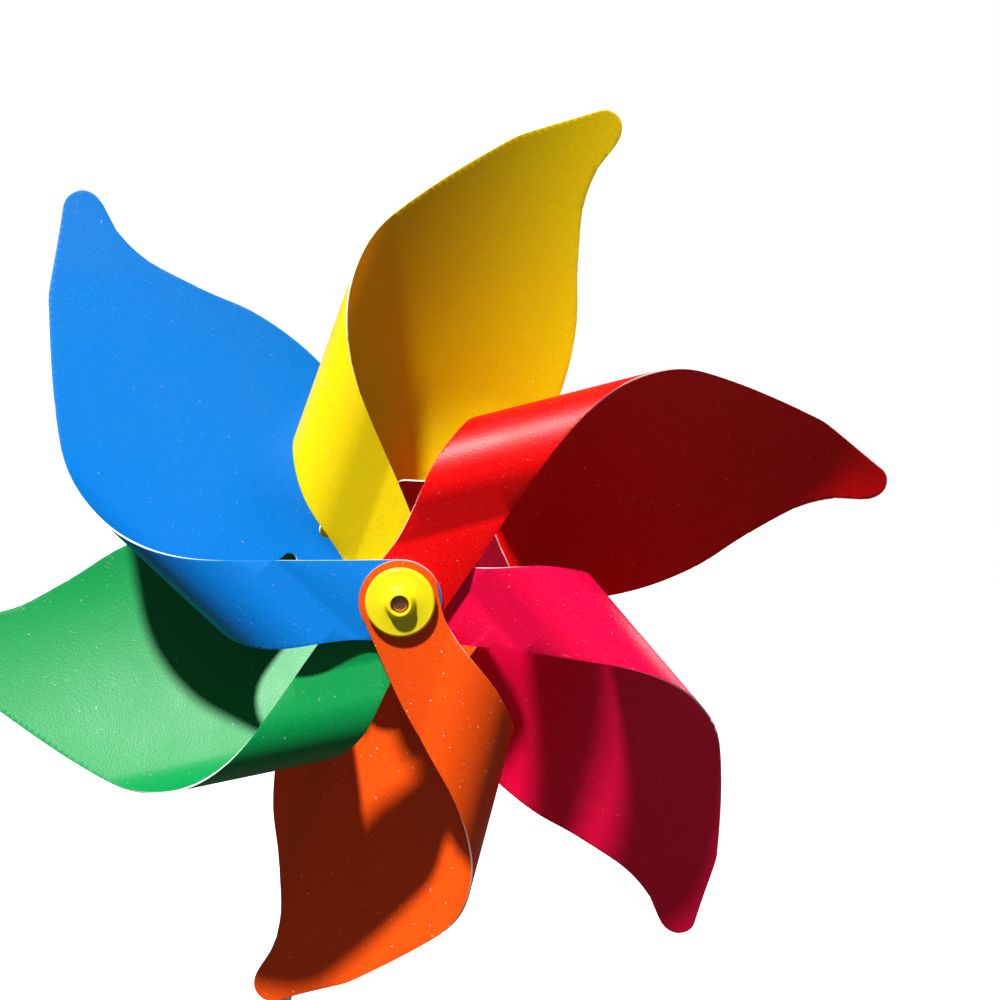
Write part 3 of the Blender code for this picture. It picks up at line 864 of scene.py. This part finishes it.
class PINWHEEL_OT_hub(bpy.types.Operator):
    """Builds the two caps, the core and the bead"""
    bl_idname = "pinwheel.hub"
    bl_label = "Hub"

    def execute(self, context):
        settings = context.scene.pinwheel_hub
        groups = shared_groups()
        yellow = moulded_material("moulded_yellow", tuple(settings.cap), groups, 0.28, 0.35)
        white = moulded_material("moulded_white", tuple(settings.core), groups, 0.36, 0.3)
        hand_over(build_front_cap(settings), "front_cap", "rotor", yellow)
        hand_over(build_rear_cap(settings), "rear_cap", "rotor", yellow)
        hand_over(build_core(settings), "hub_core", "rotor", white)
        hand_over(build_bead(settings), "spacer_bead", "bead", white)
        return {"FINISHED"}


class PINWHEEL_OT_stick(bpy.types.Operator):
    """Builds the stick, its head and plug, the pin and its stop"""
    bl_idname = "pinwheel.stick"
    bl_label = "Stick and pin"

    def execute(self, context):
        hub = context.scene.pinwheel_hub
        settings = context.scene.pinwheel_stick
        groups = shared_groups()
        white = bpy.data.materials["moulded_white"]
        yellow = bpy.data.materials["moulded_yellow"]
        tube = moulded_material("extruded_white", tuple(settings.stick), groups, 0.33, 0.45)
        wire = wire_material("drawn_wire", tuple(settings.pin), groups)
        hand_over(build_stick(hub, settings.wall), "stick", "stand", tube)
        hand_over(build_stick_head(hub, settings.fillet), "stick_head", "stand", white)
        hand_over(build_plug(hub), "stick_plug", "stand", yellow)
        hand_over(build_pin(hub), "axle_pin", "stand", wire)
        hand_over(build_stop(hub), "rear_stop", "stand", white)
        return {"FINISHED"}


KEY_FROM = Vector((-0.98, -1.0, 1.59))         # towards the key light, high in front on the left
BACK_FROM = Vector((0.8, 1.0, 0.7))
CAMERA_PLACE = Vector((-4.8, -355.8, 392.6)) * MM
CAMERA_AIM = Vector((13.9, -52.7, 356.1)) * MM
CAMERA_ROLL = radians(16.8)


class PINWHEEL_OT_stage(bpy.types.Operator):
    """Lays the floor and sets the lights and the camera"""
    bl_idname = "pinwheel.stage"
    bl_label = "Stage"

    def execute(self, context):
        settings = context.scene.pinwheel_stage
        deselect()
        bpy.ops.mesh.primitive_plane_add(size=settings.floor_size, location=(0.0, 0.0, CAD_BOX[0].z))
        floor = context.object
        floor.name = "floor"
        material, tree, shader = new_material("pale_floor", 1.0)
        shader.inputs["Base Color"].default_value = (*settings.floor_colour, 1.0)
        shader.inputs["Specular IOR Level"].default_value = 0.0
        floor.data.materials.append(material)
        floor.visible_diffuse = False
        floor.visible_glossy = False
        for name, towards_light, strength, angle in (
                ("key", KEY_FROM, settings.key, settings.softness),
                ("back", BACK_FROM, settings.back, 6 * settings.softness)):
            bpy.ops.object.light_add(type="SUN", location=towards_light)
            light = context.object
            light.name = name
            light.rotation_euler = towards_light.to_track_quat("Z", "Y").to_euler()
            light.data.energy = strength
            light.data.angle = angle
        self.light_all_round(context, settings)
        self.place_camera(context, settings)
        context.scene.view_settings.view_transform = "Standard"
        return {"FINISHED"}

    def light_all_round(self, context, settings):
        """Even light from all round, with a pale backdrop where the camera looks past the floor."""
        world = bpy.data.worlds.new("studio")
        context.scene.world = world
        world.use_nodes = True
        tree = world.node_tree
        fill = tree.nodes["Background"]
        fill.inputs["Color"].default_value = (1.0, 1.0, 1.0, 1.0)
        fill.inputs["Strength"].default_value = settings.fill
        seen = add_node(tree, "ShaderNodeBackground", (0, -200))
        seen.inputs["Color"].default_value = (*settings.backdrop, 1.0)
        path = add_node(tree, "ShaderNodeLightPath", (-200, 300))
        mix = add_node(tree, "ShaderNodeMixShader", (200, 100))
        tree.links.new(path.outputs["Is Camera Ray"], mix.inputs[0])
        tree.links.new(fill.outputs[0], mix.inputs[1])
        tree.links.new(seen.outputs[0], mix.inputs[2])
        tree.links.new(mix.outputs[0], tree.nodes["World Output"].inputs["Surface"])

    def place_camera(self, context, settings):
        bpy.ops.object.camera_add(location=CAMERA_PLACE)
        camera = context.object
        camera.name = "camera"
        camera.data.lens = settings.lens
        camera.data.clip_start = 0.01
        camera.data.clip_end = 100.0
        aim = (CAMERA_AIM - CAMERA_PLACE).to_track_quat("-Z", "Y").to_matrix()
        camera.rotation_euler = (aim @ Matrix.Rotation(CAMERA_ROLL, 3, "Z")).to_euler()
        context.scene.camera = camera


class PINWHEEL_PT_panel(bpy.types.Panel):
    """Lists the pinwheel's pieces and their settings"""
    bl_label = "Toy Pinwheel"
    bl_idname = "PINWHEEL_PT_panel"
    bl_space_type = "VIEW_3D"
    bl_region_type = "UI"
    bl_category = "Pinwheel"

    def draw(self, context):
        layout = self.layout
        for operator, settings in STEPS:
            box = layout.box()
            box.operator(operator.bl_idname)
            group = getattr(context.scene, settings)
            for name in group.bl_rna.properties.keys():
                if name not in ("rna_type", "name"):
                    box.prop(group, name)


SETTINGS = {
    "pinwheel_petals": PinwheelPetalSettings,
    "pinwheel_hub": PinwheelHubSettings,
    "pinwheel_stick": PinwheelStickSettings,
    "pinwheel_stage": PinwheelStageSettings,
}
STEPS = (
    (PINWHEEL_OT_petals, "pinwheel_petals"),
    (PINWHEEL_OT_hub, "pinwheel_hub"),
    (PINWHEEL_OT_stick, "pinwheel_stick"),
    (PINWHEEL_OT_stage, "pinwheel_stage"),
)
CLASSES = [*SETTINGS.values(), *(operator for operator, settings in STEPS), PINWHEEL_PT_panel]


def register():
    for cls in CLASSES:
        bpy.utils.register_class(cls)
    for name, group in SETTINGS.items():
        setattr(bpy.types.Scene, name, PointerProperty(type=group))


def unregister():
    for name in SETTINGS:
        delattr(bpy.types.Scene, name)
    for cls in reversed(CLASSES):
        bpy.utils.unregister_class(cls)


def main():
    register()
    bpy.ops.pinwheel.petals()
    bpy.ops.pinwheel.hub()
    bpy.ops.pinwheel.stick()
    bpy.ops.pinwheel.stage()


if __name__ == "__main__":
    main()
